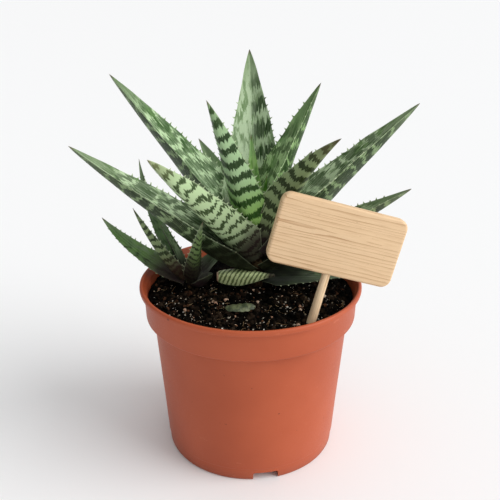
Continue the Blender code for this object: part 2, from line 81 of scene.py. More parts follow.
def add_node(tree, kind, inputs=None, **settings):
    """A shader node, with its settings, and its inputs set to values or linked to sockets."""
    made = tree.nodes.new(kind)
    for key, value in settings.items():
        setattr(made, key, value)
    for key, value in (inputs or {}).items():
        if isinstance(value, bpy.types.NodeSocket):
            tree.links.new(value, made.inputs[key])
        else:
            made.inputs[key].default_value = value
    return made


def math_node(tree, operation, first, second=0.0, third=0.0, clamp=False):
    made = add_node(tree, "ShaderNodeMath", {0: first, 1: second, 2: third}, operation=operation)
    made.use_clamp = clamp
    return made.outputs[0]


def span(tree, value, low, high, low_out=0.0, high_out=1.0):
    """The value's range turned smoothly into another."""
    made = add_node(
        tree,
        "ShaderNodeMapRange",
        {"Value": value, "From Min": low, "From Max": high, "To Min": low_out, "To Max": high_out},
        interpolation_type="SMOOTHSTEP",
    )
    return made.outputs["Result"]


def blend_colour(tree, share, first, second, mode="MIX"):
    made = add_node(tree, "ShaderNodeMix", data_type="RGBA", blend_type=mode)
    for key, value in ((0, share), (6, first), (7, second)):
        if isinstance(value, bpy.types.NodeSocket):
            tree.links.new(value, made.inputs[key])
        else:
            made.inputs[key].default_value = value
    return made.outputs[2]


def noise_node(tree, vector, scale, detail=3.0, roughness=0.5, distortion=0.0):
    made = add_node(
        tree,
        "ShaderNodeTexNoise",
        {
            "Vector": vector,
            "Scale": scale,
            "Detail": detail,
            "Roughness": roughness,
            "Distortion": distortion,
        },
    )
    return made.outputs["Fac"]


def object_place(tree):
    return add_node(tree, "ShaderNodeTexCoord").outputs["Object"]


def object_stretched(tree, x, y, z):
    """The place on the piece with each axis at its own scale."""
    return add_node(tree, "ShaderNodeMapping", {"Vector": object_place(tree), "Scale": (x, y, z)}).outputs[0]


def raised(tree, height, strength, distance):
    made = add_node(
        tree, "ShaderNodeBump", {"Height": height, "Strength": strength, "Distance": distance}
    )
    return made.outputs["Normal"]


def rgb(red, green, blue):
    """A colour given as it looks on a screen, in the linear values of a shader."""
    parts = []
    for part in (red, green, blue):
        share = part / 255
        parts.append(share / 12.92 if share <= 0.04045 else ((share + 0.055) / 1.055) ** 2.4)
    return (*parts, 1.0)


def spun_shell(name, profile, sides):
    """A profile of (radius, height) points in millimetres, spun round Z. Ends on the axis close."""
    deselect_all()
    bpy.ops.mesh.primitive_plane_add(size=MM)
    obj = bpy.context.object
    obj.name = name
    obj.data.name = name
    bpy.ops.object.mode_set(mode="EDIT")
    bpy.ops.mesh.merge(type="CENTER")
    radius, height = profile[0]
    bpy.ops.transform.translate(value=(radius * MM, 0.0, height * MM))
    for (r0, z0), (r1, z1) in zip(profile, profile[1:]):
        step = ((r1 - r0) * MM, 0.0, (z1 - z0) * MM)
        bpy.ops.mesh.extrude_region_move(TRANSFORM_OT_translate={"value": step})
    bpy.ops.mesh.select_all(action="SELECT")
    bpy.ops.mesh.spin(steps=sides, angle=2 * pi, center=(0, 0, 0), axis=(0, 0, 1))
    bpy.ops.mesh.select_all(action="SELECT")
    bpy.ops.mesh.remove_doubles(threshold=0.00001)
    bpy.ops.mesh.normals_make_consistent(inside=False)
    bpy.ops.object.mode_set(mode="OBJECT")
    return obj


def cut(obj, cutter, solver="EXACT"):
    """Takes the cutter's shape out of the piece."""
    modifier = obj.modifiers.new("cut", "BOOLEAN")
    modifier.operation = "DIFFERENCE"
    modifier.solver = solver
    modifier.object = cutter
    deselect_all()
    bpy.context.view_layer.objects.active = obj
    bpy.ops.object.modifier_apply(modifier=modifier.name)
    bpy.data.objects.remove(cutter, do_unlink=True)


def smooth_by_angle(obj, degrees):
    deselect_all()
    obj.select_set(True)
    bpy.context.view_layer.objects.active = obj
    bpy.ops.object.shade_smooth_by_angle(angle=radians(degrees))


pot = spun_shell("pot_body", ((0.0, 5.2),) + POT_OUTSIDE + POT_INSIDE + ((0.0, 7.2),), POT_SIDES)
for notch_turn in (-80, 40, 160):
    deselect_all()
    bpy.ops.mesh.primitive_cube_add(size=1.0, location=(46 * MM, 0, 0), scale=(0.018, 0.0136, 0.0092))
    bpy.ops.object.transform_apply(location=True, rotation=False, scale=True)
    notch = bpy.context.object
    bpy.ops.object.mode_set(mode="EDIT")
    bpy.ops.mesh.select_all(action="SELECT")
    bpy.ops.mesh.bevel(offset=0.0011, segments=3, affect="EDGES")
    bpy.ops.object.mode_set(mode="OBJECT")
    notch.data.transform(Matrix.Rotation(radians(notch_turn), 4, "Z"))
    cut(pot, notch)
for drain_count in range(6):
    drain_turn = radians(-80 + (drain_count + 0.5) * 60)
    place = (26 * MM * cos(drain_turn), 26 * MM * sin(drain_turn), 6.2 * MM)
    deselect_all()
    bpy.ops.mesh.primitive_cylinder_add(vertices=40, radius=3.5 * MM, depth=6 * MM, location=place)
    bpy.ops.object.transform_apply(location=True, rotation=False, scale=False)
    cut(pot, bpy.context.object)
smooth_by_angle(pot, 40)

plastic, tree, shader = new_material("terracotta_plastic")
place = object_place(tree)
cloud = noise_node(tree, place, 22.0, 3.0)
grain = noise_node(tree, place, 1400.0, 2.0)
speck = noise_node(tree, place, 260.0, 2.0, 0.4)
height = add_node(tree, "ShaderNodeSeparateXYZ", {"Vector": place}).outputs["Z"]
clay = blend_colour(tree, span(tree, cloud, 0.3, 0.7), rgb(173, 80, 47), rgb(183, 88, 54))
clay = blend_colour(tree, span(tree, speck, 0.76, 0.8, 0.0, 0.7), clay, rgb(92, 44, 30))
scuff = noise_node(tree, object_stretched(tree, 90.0, 90.0, 320.0), 1.0, 4.0, 0.62)
clay = blend_colour(tree, span(tree, scuff, 0.66, 0.78, 0.0, 0.4), clay, rgb(216, 138, 104))
# The clay is darker towards the bottom, over the lowest 6 mm.
clay = blend_colour(tree, span(tree, height, 0.0, 0.006, 0.25, 0.0), clay, rgb(128, 74, 56))
shader.inputs["Specular IOR Level"].default_value = 0.3
tree.links.new(clay, shader.inputs["Base Color"])
tree.links.new(span(tree, grain, 0.3, 0.7, 0.42, 0.52), shader.inputs["Roughness"])
tree.links.new(raised(tree, grain, 0.12, 0.0002), shader.inputs["Normal"])
pot.data.materials.append(plastic)
keep(pot, "pot")


# The soil: peat potting mix, firmed into the pot to 8 mm under the lip. Crumbs, bark bits, white
# perlite and a few thin roots lie loose on it, half sunk.

SOIL_EDGE = 89.0
SOIL_RADIUS = 55.6
STEM_PLACES = ((3.0, 6.0, 4.6), (-33.0, 5.0, 2.8))


def soil_height(x, y):
    """The CAD soil's surface, in millimetres."""
    reach = sqrt(x * x + y * y) / 60.0
    lumps = sin(0.37 * x + 0.9) * cos(0.29 * y + 0.4) + 0.6 * sin(0.21 * x - 0.33 * y)
    return SOIL_EDGE + 1.5 * (1 - reach * reach) + 0.6 * lumps


def crumbly(x, y):
    """Height of the loose crumbs over the surface, in millimetres."""
    coarse = noise.noise(Vector((x * 0.2, y * 0.2, 3.0)))
    lumps = abs(noise.noise(Vector((x * 0.48, y * 0.48, 7.0))))
    grit = noise.noise(Vector((x * 1.3, y * 1.3, 11.0)))
    return 0.6 * coarse + 1.3 * lumps + 0.55 * grit


soil = spun_shell(
    "soil_bed",
    ((0.0, 7.6), (42.3, 7.6), (43.9, 7.9), (45.2, 9.4), (48.0, 38.0), (51.2, 78.9), (51.6, 80.1), (55.1, 80.7))
    + ((55.35, 82.0), (55.7, 88.0))
    + tuple((r, SOIL_EDGE) for r in np.arange(55.6, 0.4, -0.55))
    + ((0.0, SOIL_EDGE),),
    260,
)
points = np.empty(len(soil.data.vertices) * 3, np.float32)
soil.data.vertices.foreach_get("co", points)
points = points.reshape(-1, 3)
proud = np.zeros(len(points), np.float32)
for index, row in enumerate(points):
    if row[2] > (SOIL_EDGE - 0.05) * MM:
        x, y = row[0] / MM, row[1] / MM
        proud[index] = crumbly(x, y)
        row[2] = (soil_height(x, y) + proud[index] - 0.3) * MM
soil.data.vertices.foreach_set("co", points.ravel())
soil.data.attributes.new("proud_mm", "FLOAT", "POINT").data.foreach_set("value", proud)
soil.data.update()
smooth_by_angle(soil, 50)


def crumbs(name, count, seed, low, high, squash=0.75, reach=53.5, front=0.0, sunk=0.1, sides=1):
    """Loose bits as one mesh: one rough little stone, copied, each turned its own way and half sunk."""
    deselect_all()
    bpy.ops.mesh.primitive_ico_sphere_add(subdivisions=sides, radius=1.0)
    stone = bpy.context.object
    stone.name = stone.data.name = name
    bit = np.array([tuple(v.co) for v in stone.data.vertices])
    sides_of = np.array([tuple(f.vertices) for f in stone.data.polygons])
    rng = random.Random(seed)
    all_points, all_faces = [], []
    for index in range(count):
        while True:
            turn = rng.uniform(-pi, pi)
            away = reach * sqrt(rng.random())
            x, y = away * cos(turn), away * sin(turn)
            if y < 30 - front * 30 and all(
                (x - px) ** 2 + (y - py) ** 2 > (pr + 1.5) ** 2 for px, py, pr in STEM_PLACES
            ):
                break
        size = low + (high - low) * rng.random() ** 2.2
        knock = np.array([noise.noise(Vector(p) * 1.1 + Vector((index * 3.1, 0, 0))) for p in bit])
        shape = np.diag((rng.uniform(0.7, 1.2), rng.uniform(0.7, 1.2), squash)) * size
        spin = Matrix.Rotation(rng.uniform(0, 6), 3, "X") @ Matrix.Rotation(rng.uniform(0, 6), 3, "Z")
        turned = (bit * (1.0 + 0.7 * knock[:, None])) @ shape @ np.array(spin).T
        z = soil_height(x, y) + crumbly(x, y) - 0.3 + sunk * size
        all_faces.append(sides_of + index * len(bit))
        all_points.append(turned + np.array((x, y, z)))
    stone.data.clear_geometry()
    stone.data.from_pydata((np.concatenate(all_points) * MM).tolist(), [], np.concatenate(all_faces).tolist())
    stone.data.update()
    return stone


def place_on_soil(x, y, lift=0.0):
    return Vector((x, y, soil_height(x, y) + crumbly(x, y) - 0.3 + lift)) * MM


def root_thread(points_mm, thickness):
    """A thin root as a round tube through the points, from a curve made a mesh."""
    curve = bpy.data.curves.new("root", "CURVE")
    curve.dimensions = "3D"
    curve.bevel_depth = thickness * MM
    curve.bevel_resolution = 1
    curve.use_fill_caps = True
    curve.resolution_u = 6
    line = curve.splines.new("BEZIER")
    line.bezier_points.add(len(points_mm) - 1)
    for handle, point in zip(line.bezier_points, points_mm):
        handle.co = point
        handle.handle_left_type = handle.handle_right_type = "AUTO"
    obj = bpy.data.objects.new("root", curve)
    bpy.context.scene.collection.objects.link(obj)
    return obj


dark_crumbs = crumbs("soil_crumbs", 3000, 5, 0.35, 1.7, squash=0.8, sunk=0.25)
bark_bits = crumbs("bark_bits", 300, 9, 0.3, 1.5, squash=0.5, sunk=0.4)
perlite = crumbs("perlite_grains", 700, 12, 0.16, 0.62, front=0.3, sunk=0.8)
pebbles = crumbs("pale_grains", 34, 29, 0.45, 1.25, squash=0.9, reach=50, front=0.8, sunk=0.5, sides=2)
rng = random.Random(3)
threads = []
for _ in range(56):
    turn = rng.uniform(-pi, 0.1)
    away = rng.uniform(18, 52)
    x, y, way = away * cos(turn), away * sin(turn), rng.uniform(0, 2 * pi)
    line = []
    for _ in range(5):
        line.append(place_on_soil(x, y, 0.5 + rng.uniform(-0.3, 0.6)))
        way += rng.uniform(-0.7, 0.7)
        x, y = x + 1.5 * cos(way), y + 1.5 * sin(way)
        if x * x + y * y > 53 ** 2:
            way += pi
            x, y = x + 3 * cos(way), y + 3 * sin(way)
    threads.append(root_thread(line, rng.uniform(0.05, 0.12)))
deselect_all()
for thread in threads:
    thread.select_set(True)
bpy.context.view_layer.objects.active = threads[0]
bpy.ops.object.convert(target="MESH")
bpy.ops.object.join()
roots = bpy.context.object
roots.name = "root_threads"


def soil_material(name, dark, light, scale, rough=0.95, relief=0.0006):
    material, tree, shader = new_material(name)
    place = object_place(tree)
    coarse = noise_node(tree, place, scale, 4.0, 0.6)
    fine = noise_node(tree, place, scale * 9, 3.0, 0.6)
    tone = blend_colour(tree, span(tree, coarse, 0.44, 0.7), dark, light)
    tone = blend_colour(tree, span(tree, fine, 0.58, 0.8, 0.0, 0.4), tone, light)
    tree.links.new(tone, shader.inputs["Base Color"])
    tree.links.new(span(tree, fine, 0.3, 0.7, rough - 0.15, rough), shader.inputs["Roughness"])
    tree.links.new(raised(tree, fine, 0.8, relief), shader.inputs["Normal"])
    shader.inputs["Specular IOR Level"].default_value = 0.05
    return material, tree, shader, tone


potting_mix, tree, shader, tone = soil_material("potting_mix", rgb(2, 2, 1), rgb(38, 31, 25), 260.0)
proud_of = add_node(tree, "ShaderNodeAttribute", attribute_name="proud_mm").outputs["Fac"]
# Painted shade: the soil darkens to near black where it lies low between the crumbs, and keeps its own tone where it
# stands proud.
shade = span(tree, proud_of, 0.0, 0.75, 0.12, 1.0)
tree.links.new(blend_colour(tree, shade, rgb(3, 2, 2), tone), shader.inputs["Base Color"])
soil.data.materials.append(potting_mix)
dark_crumbs.data.materials.append(soil_material("peat_crumbs", rgb(2, 2, 1), rgb(50, 39, 29), 150.0)[0])
bark_bits.data.materials.append(soil_material("bark_brown", rgb(46, 29, 20), rgb(122, 84, 60), 140.0)[0])
perlite.data.materials.append(soil_material("perlite_white", rgb(150, 138, 120), rgb(236, 230, 218), 140.0)[0])
pebbles.data.materials.append(soil_material("grain_cream", rgb(168, 128, 104), rgb(222, 204, 182), 160.0)[0])
roots.data.materials.append(soil_material("root_straw", rgb(120, 92, 64), rgb(200, 176, 136), 120.0)[0])
keep(soil, "soil")
for loose in (dark_crumbs, bark_bits, perlite, pebbles, roots):
    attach(loose, "root")


# The stems: short woody shoots that stand in the soil, one for the rosette and a thin one for the
# pup. Rings are left on them where old leaves came away.


def stem(name, x, y, foot, top, foot_radius, top_radius):
    profile = [(0.0, foot), (0.7 * foot_radius, foot), (foot_radius, foot + 1.2)]
    steps = 60
    for k in range(1, steps):
        share = k / steps
        z = foot + 1.2 + share * (top - foot - 2.4)
        radius = foot_radius + (top_radius - foot_radius) * share
        ring = abs(sin(z * 1.15)) ** 0.6
        profile.append((radius * (0.86 + 0.14 * ring), z))
    profile += [(0.6 * top_radius, top - 0.2), (0.0, top)]
    obj = spun_shell(name, profile, 40)
    obj.data.transform(Matrix.Translation((x * MM, y * MM, 0)))
    smooth_by_angle(obj, 60)
    return obj


main_stem = stem("main_stem", 3.0, 6.0, 66, 130, 4.6, 2.6)
side_stem = stem("side_stem", -33.0, 5.0, 70, 97, 2.8, 1.9)
for shoot, node in ((main_stem, "stem"), (side_stem, "pup_stem")):
    shoot.data.materials.append(soil_material("stem_bark", rgb(40, 30, 22), rgb(98, 80, 56), 260.0)[0])
    keep(shoot, node)


# The leaves: thick water-filled blades, folded along a channel above and a keel below, that sheathe
# each other round the stem. Broken pale bands cross them, and a pale horny line with teeth edges them.

TOOTH_PITCH = 3.8
TOOTH_LENGTH = 1.6
NECK_SHARE = 0.18
SECTION = (1.0, 0.965, 0.9, 0.81, 0.71, 0.6, 0.49, 0.38, 0.27, 0.16, 0.07)


def heading(leaf, share):
    rise = radians(leaf["rise"] + leaf["curl"] * share)
    turn = radians(leaf["turn"] + leaf["sweep"] * share)
    return np.array((cos(rise) * cos(turn), cos(rise) * sin(turn), sin(rise)))


def leaf_rings(leaf):
    """Shares of the length for the rings, closer at each tooth, and each tooth's share and side."""
    length, end = leaf["length"], leaf.get("cut", 1.0)
    rng = random.Random(leaf["seed"])
    first, last = leaf.get("bare", 0.16) * length, min(leaf.get("last_tooth", 0.9), end - 0.03) * length
    teeth = []
    for side in (1, -1):
        at = first + (0.0 if side == 1 else TOOTH_PITCH / 2)
        while at < last:
            teeth.append((at + rng.uniform(-0.3, 0.3), side, rng.uniform(0.7, 1.1)))
            at += TOOTH_PITCH * rng.uniform(0.85, 1.15)
    reach = end * length - (0.25 if end == 1.0 else 0.0)
    marks = {0.0, reach}
    for at, _, _ in teeth:
        marks |= {at - 0.7, at - 0.32, at, at + 0.36}
    plain = np.linspace(0, reach, int(reach / 1.1) + 2)
    for at in plain:
        if min(abs(at - m) for m in marks) > 0.45:
            marks.add(float(at))
    kept = []
    for at in sorted(m for m in marks if 0 <= m <= reach):
        if not kept or at - kept[-1] > 0.12 or at == reach:
            kept.append(at)
    return np.array(kept) / length, teeth


def leaf_piece(leaf):
    """One leaf: a sphere's rings and segments drawn out along the leaf's line into its folded section."""
    shares, teeth = leaf_rings(leaf)
    columns = [(a, False) for a in SECTION] + [(0.0, False)] + [(-a, False) for a in SECTION[::-1]]
    columns += [(-a, True) for a in SECTION[1:]] + [(0.0, True)] + [(a, True) for a in SECTION[:0:-1]]
    across = np.array([a for a, _ in columns])
    under = np.array([1.0 if low else 0.0 for _, low in columns])
    deselect_all()
    rings = len(shares)
    bpy.ops.mesh.primitive_uv_sphere_add(segments=len(columns), ring_count=rings + 1, radius=1.0)
    obj = bpy.context.object
    obj.name = obj.data.name = leaf["name"]
    start = radians(leaf["turn"])
    length = leaf["length"]
    point = np.array((leaf["stem"][0] + 3.6 * cos(start), leaf["stem"][1] + 3.6 * sin(start), leaf["z"]))
    grid = np.empty((rings, len(columns), 3))
    reach_at = np.empty((rings, len(columns)))
    horned = np.zeros((rings, len(columns)))
    line = np.empty((rings, 3))
    before = 0.0
    roll, fold = radians(leaf.get("roll", 0)), radians(leaf["fold"])
    wobble = random.Random(leaf["seed"] + 50).uniform(0, 9)
    for k, share in enumerate(shares):
        steps = 4
        for j in range(steps):
            middle = before + (share - before) * (j + 0.5) / steps
            point = point + heading(leaf, middle) * (share - before) * length / steps
        before = share
        line[k] = point
        along = heading(leaf, share)
        turn = radians(leaf["turn"] + leaf["sweep"] * share)
        side = np.array((-sin(turn), cos(turn), 0.0))
        upper = np.cross(along, side)
        side, upper = side * cos(roll) + upper * sin(roll), upper * cos(roll) - side * sin(roll)
        rising = min(1.0, share / leaf["neck_share"])
        neck = leaf["neck"] + (1 - leaf["neck"]) * rising * rising * (3 - 2 * rising)
        width = leaf["arm"] * 1.13 * neck * max(0.0, 1 - share) ** 0.85
        to_cut = (leaf["cut"] - share) * length
        if leaf["cut"] < 1.0 and to_cut < leaf["arm"]:
            width *= 1 - leaf["round_end"] * (1 - sqrt(max(0.0, 1 - (1 - to_cut / leaf["arm"]) ** 2)))
        width *= 1.0 + 0.018 * sin(share * 17 + wobble) + 0.012 * sin(share * 41 + 2 * wobble)
        width = max(width, 0.12)
        lift = np.sqrt(across ** 2 + 0.0625) - 0.25
        x = across * width * cos(fold)
        y = lift * width * sin(fold)
        # The margins run a little up and down, and the blade swells gently between channel and edge.
        y += 0.02 * width * np.abs(across) * np.sin(share * 23 + wobble + across * 1.5)
        y += 0.05 * width * np.sin(np.abs(across) * pi) * (1 - under)
        thin = min(1.0, (width / leaf["arm"]) ** 0.8) * (1 - across ** 2) ** 0.7
        y = y - under * leaf["thick"] * thin
        for at, edge, size in teeth:
            gap = share * length - at
            if -0.75 < gap < 0.4:
                rise_by = max(0.0, 1 + gap / 0.7) ** 1.4 if gap <= 0 else max(0.0, 1 - gap / 0.36)
                full = TOOTH_LENGTH * size * (0.4 + 0.6 * min(1.0, width / 8.0)) * rise_by
                amount = np.where(across == edge, 1.0, np.where(np.abs(across - edge * 0.965) < 1e-6, 0.16, 0.0))
                x = x + edge * amount * full * cos(fold)
                y = y + amount * full * sin(fold)
                horned[k] = np.maximum(horned[k], np.where(across == edge, rise_by, 0.0))
        grid[k] = point + x[:, None] * side + y[:, None] * upper
        if any(abs(share * length - at) < 1e-6 for at, _, _ in teeth):
            for at, edge, size in teeth:
                if abs(share * length - at) < 1e-6:
                    grid[k][across == edge] += along * 0.45 * size
        reach_at[k] = across * width
    sphere = np.empty(len(obj.data.vertices) * 3)
    obj.data.vertices.foreach_get("co", sphere)
    sphere = sphere.reshape(-1, 3)
    ring = np.rint(np.arccos(np.clip(sphere[:, 2], -1, 1)) / pi * (rings + 1)).astype(int) - 1
    turn_of = np.rint(np.arctan2(sphere[:, 1], sphere[:, 0]) / (2 * pi) * len(columns)).astype(int)
    column = turn_of % len(columns)
    column = (len(columns) - column) % len(columns)
    poles = (ring < 0) | (ring >= rings)
    inside = np.clip(ring, 0, rings - 1)
    placed = grid[inside, column]
    placed[ring < 0] = line[0] + (grid[0].mean(0) - line[0]) - heading(leaf, 0) * 0.4
    tip = line[-1] + heading(leaf, 1.0) * 0.1
    if leaf.get("cut", 1.0) < 1.0:
        tip = grid[-1].mean(0) - heading(leaf, 1.0) * 0.5
    placed[ring >= rings] = tip
    obj.data.vertices.foreach_set("co", (placed * MM).ravel())
    margin = np.clip(1 - (1 - np.abs(across[column])) * np.abs(reach_at[inside, 0]) / 0.6, 0, 1)
    margin = leaf["edge_line"] * margin + (1 - leaf["edge_line"]) * horned[inside, column]
    margin[poles] = 0.0
    marks = {
        "along_mm": shares[inside] * length,
        "across_mm": reach_at[inside, column],
        "across_share": across[column],
        "underside": under[column],
        "margin": margin,
        "to_end": (leaf.get("cut", 1.0) - shares[inside]) * length,
    }
    for mark, values in marks.items():
        attribute = obj.data.attributes.new(mark, "FLOAT", "POINT")
        attribute.data.foreach_set("value", values.astype(np.float32))
    bpy.ops.object.mode_set(mode="EDIT")
    bpy.ops.mesh.select_all(action="SELECT")
    bpy.ops.mesh.normals_make_consistent(inside=False)
    bpy.ops.object.mode_set(mode="OBJECT")
    smooth_by_angle(obj, 62)
    return obj


def banding_group():
    """The markings of an aloe leaf, drawn from its own millimetres along and across: cross bands with
    frayed edges, lengthwise blotches, fine ribs and small freckles."""
    group = bpy.data.node_groups.new("aloe_markings", "ShaderNodeTree")
    for socket, value in (
        ("Along", 0.0), ("Across", 0.0), ("Seed", 0.0), ("Pitch", 6.5), ("Wave", 0.35),
        ("Frayed", 0.3), ("Dark Share", 0.45), ("Broken", 0.2), ("Softness", 0.1), ("Slant", 0.0),
    ):
        made = group.interface.new_socket(name=socket, in_out="INPUT", socket_type="NodeSocketFloat")
        made.default_value = value
    for socket in ("Bands", "Blotches", "Ribs", "Freckles", "Drift"):
        group.interface.new_socket(name=socket, in_out="OUTPUT", socket_type="NodeSocketFloat")
    given = group.nodes.new("NodeGroupInput").outputs
    out = group.nodes.new("NodeGroupOutput").inputs

    def stretched(across_scale, along_scale, shift, detail=2.0, roughness=0.5, along=None):
        place = add_node(
            group,
            "ShaderNodeCombineXYZ",
            {
                "X": math_node(group, "MULTIPLY", given["Across"], across_scale),
                "Y": math_node(group, "MULTIPLY", along or given["Along"], along_scale),
                "Z": math_node(group, "ADD", given["Seed"], shift),
            },
        ).outputs[0]
        return noise_node(group, place, 1.0, detail, roughness)

    def centred(value, amount):
        return math_node(group, "MULTIPLY", math_node(group, "SUBTRACT", value, 0.5), amount)

    def scaled(socket, factor):
        return math_node(group, "MULTIPLY", given[socket], factor)

    frayed = centred(stretched(1.15, 0.1, 5.0, 2.0, 0.65), scaled("Frayed", 3.2))
    wave = centred(stretched(0.13, 0.06, 1.0, 1.0), scaled("Wave", 4.0))
    count = math_node(group, "DIVIDE", given["Along"], given["Pitch"])
    count = math_node(group, "MULTIPLY_ADD", given["Across"], given["Slant"], count)
    shifted = math_node(group, "ADD", count, math_node(group, "ADD", wave, frayed))
    phase = math_node(group, "FRACT", shifted)
    saw = math_node(group, "ABSOLUTE", math_node(group, "MULTIPLY_ADD", phase, 2.0, -1.0))
    broken = centred(stretched(0.3, 0.2, 3.0, 2.0, 0.6), scaled("Broken", 4.0))
    middle = math_node(group, "SUBTRACT", math_node(group, "SUBTRACT", 1.0, given["Dark Share"]), broken)
    low = math_node(group, "SUBTRACT", middle, given["Softness"])
    high = math_node(group, "ADD", middle, given["Softness"])
    group.links.new(span(group, saw, low, high), out["Bands"])
    combed = math_node(group, "MULTIPLY_ADD", frayed, given["Pitch"], given["Along"])
    blotch = stretched(0.3, 0.15, 9.0, 3.0, 0.55, combed)
    group.links.new(span(group, blotch, 0.455, 0.505), out["Blotches"])
    group.links.new(span(group, stretched(2.3, 0.016, 13.0, 2.0), 0.5, 0.62), out["Ribs"])
    group.links.new(span(group, stretched(1.7, 0.7, 17.0, 2.0), 0.62, 0.7), out["Freckles"])
    group.links.new(stretched(0.06, 0.03, 21.0, 2.0), out["Drift"])
    return group


MARKINGS = banding_group()


def wax_over(colour, amount=0.45):
    """The colour under the pale bloom of wax on the skin."""
    return tuple((1 - amount) * c + amount * w for c, w in zip(colour, rgb(214, 226, 200)))


def deepened(colour):
    """The colour with its lights lighter and its darks darker, and a little greener."""
    red, green, blue = (min(1.0, 1.36 * part ** 1.2) for part in colour[:3])
    return (red * 0.98, green * 1.02, blue * 0.92, 1.0)


def leaf_skin(name, look):
    """A leaf's skin: banded keel side, streaked channel side, plain tip, dark base, horny margin."""
    material, tree, shader = new_material(name)
    look = {key: deepened(value) if isinstance(value, tuple) else value for key, value in look.items()}

    def mark(attribute):
        return add_node(tree, "ShaderNodeAttribute", attribute_name=attribute).outputs["Fac"]

    def times(first, second):
        return math_node(tree, "MULTIPLY", first, second)

    along, across, under = mark("along_mm"), mark("across_mm"), mark("underside")
    margin, to_end, share = mark("margin"), mark("to_end"), mark("across_share")

    spread = math_node(tree, "MULTIPLY_ADD", along, -look.get("spread", 0.12) / look["length"], 1.0)
    spaced = times(along, spread)

    def markings(side, seed):
        made = tree.nodes.new("ShaderNodeGroup")
        made.node_tree = MARKINGS
        tree.links.new(spaced, made.inputs["Along"])
        tree.links.new(across, made.inputs["Across"])
        for key, value in side.items():
            made.inputs[key].default_value = value
        made.inputs["Seed"].default_value = seed
        return made.outputs

    outer = markings(look["outer"], look["seed"])
    inner = markings(look["inner"], look["seed"] + 31.0)
    length = look["length"]

    # The keel side: dark bands on a pale skin, greener low down, with freckles in both.
    low_down = span(tree, along, 0.15 * length, 0.5 * length, look.get("fresh_depth", 0.0), 0.0)
    pale = blend_colour(tree, low_down, look["pale"], look.get("fresh_pale", look["pale"]))
    dark = blend_colour(tree, low_down, look["dark"], look.get("fresh_dark", look["dark"]))
    keel = blend_colour(tree, times(outer["Bands"], look.get("band_depth", 0.96)), pale, dark)
    keel = blend_colour(tree, times(outer["Freckles"], 0.3), keel, wax_over(look["pale"], 0.2))
    keel = blend_colour(tree, times(outer["Ribs"], look.get("comb", 0.25)), keel, pale)

    # The channel side: green with long pale blotches, dark patches over one half, pale fine ribs.
    half = span(tree, times(share, look.get("half", 1.0)), -0.25, 0.15, look.get("other_half", 0.3), 1.0)
    faded = span(tree, to_end, look.get("plain", 0.2) * length, (look.get("plain", 0.2) + 0.22) * length)
    shown = times(faded, half)
    bed = blend_colour(tree, span(tree, inner["Drift"], 0.3, 0.7), look["green"], wax_over(look["green"], 0.25))
    bed = blend_colour(tree, times(times(inner["Blotches"], faded), look.get("blotch", 0.8)), bed, look["milk"])
    patches = times(inner["Bands"], times(shown, look.get("patch", 0.8)))
    bed = blend_colour(tree, patches, bed, look["deep"])
    channel = span(tree, math_node(tree, "ABSOLUTE", share), 0.05, 0.75, look.get("rib_depth", 0.6), 0.12)
    bed = blend_colour(tree, times(inner["Ribs"], channel), bed, wax_over(look["milk"], 0.3))
    bed = blend_colour(tree, times(inner["Freckles"], 0.3), bed, look["deep"])
    skin = blend_colour(tree, span(tree, under, 0.3, 0.7), bed, keel)

    # The tip third is plain and the point brown. Where the leaf sheathes the stem the base darkens: partly its own
    # purple-brown, partly painted shade deep in the rosette.
    veil = span(tree, to_end, 0.02 * length, look.get("veil", 0.3) * length, look.get("veil_depth", 0.55), 0.0)
    skin = blend_colour(tree, veil, skin, look.get("veil_colour", rgb(118, 134, 102)))
    reach = look.get("base_reach", 18.0)
    fray = times(math_node(tree, "SUBTRACT", inner["Drift"], 0.5), 0.8 * reach)
    base_depth = look.get("base_depth", 0.9)
    # Painted shade in part: the dark base colour stands for the shade inside the rosette as well as the sheath's own
    # purple-brown.
    base_tone_and_shade = span(tree, math_node(tree, "ADD", along, fray), 0.35 * reach, 1.15 * reach, base_depth, 0.0)
    skin = blend_colour(tree, base_tone_and_shade, skin, look.get("base", rgb(52, 38, 42)))
    brown = span(tree, to_end, 0.5, look.get("tip_reach", 4.5), 0.9, 0.0)
    skin = blend_colour(tree, brown, skin, look.get("tip", rgb(86, 64, 50)))
    horn = span(tree, margin, 0.15, 0.9, 0.0, look.get("margin_depth", 0.85))
    skin = blend_colour(tree, horn, skin, look.get("horn", rgb(198, 212, 172)))
    tree.links.new(skin, shader.inputs["Base Color"])
    pores = noise_node(tree, object_place(tree), 2200.0, 2.0)
    tree.links.new(span(tree, pores, 0.3, 0.7, 0.44, 0.56), shader.inputs["Roughness"])
    relief = math_node(tree, "ADD", times(inner["Ribs"], 0.6), times(pores, 0.3))
    tree.links.new(raised(tree, relief, 0.3, 0.00025), shader.inputs["Normal"])
    shader.inputs["Specular IOR Level"].default_value = 0.22
    return material


# How the markings run: bold separate bands, fine wavy ones, broken blotches, and hardly any.
BOLD = {"Pitch": 8.8, "Wave": 0.16, "Frayed": 0.26, "Dark Share": 0.5, "Broken": 0.1, "Softness": 0.07}
FINE = {"Pitch": 5.4, "Wave": 0.42, "Frayed": 0.4, "Dark Share": 0.38, "Broken": 0.3, "Softness": 0.1}
BLOTCHED = {"Pitch": 8.0, "Wave": 0.4, "Frayed": 0.36, "Dark Share": 0.66, "Broken": 0.25, "Softness": 0.08}
STREAKED = {"Pitch": 9.5, "Wave": 0.5, "Frayed": 0.5, "Dark Share": 0.45, "Broken": 0.35, "Softness": 0.1}
FAINT = {"Pitch": 7.0, "Wave": 0.4, "Frayed": 0.4, "Dark Share": 0.3, "Broken": 0.2, "Softness": 0.3}

MAIN = (3.0, 6.0)
PUP = (-33.0, 5.0)
FRONT = (16.5, -0.5)
PLAIN_LOOK = {
    "outer": BOLD, "inner": STREAKED,
    "pale": rgb(150, 172, 138), "dark": rgb(48, 70, 36),
    "green": rgb(98, 124, 84), "milk": rgb(172, 188, 158), "deep": rgb(58, 84, 46),
}


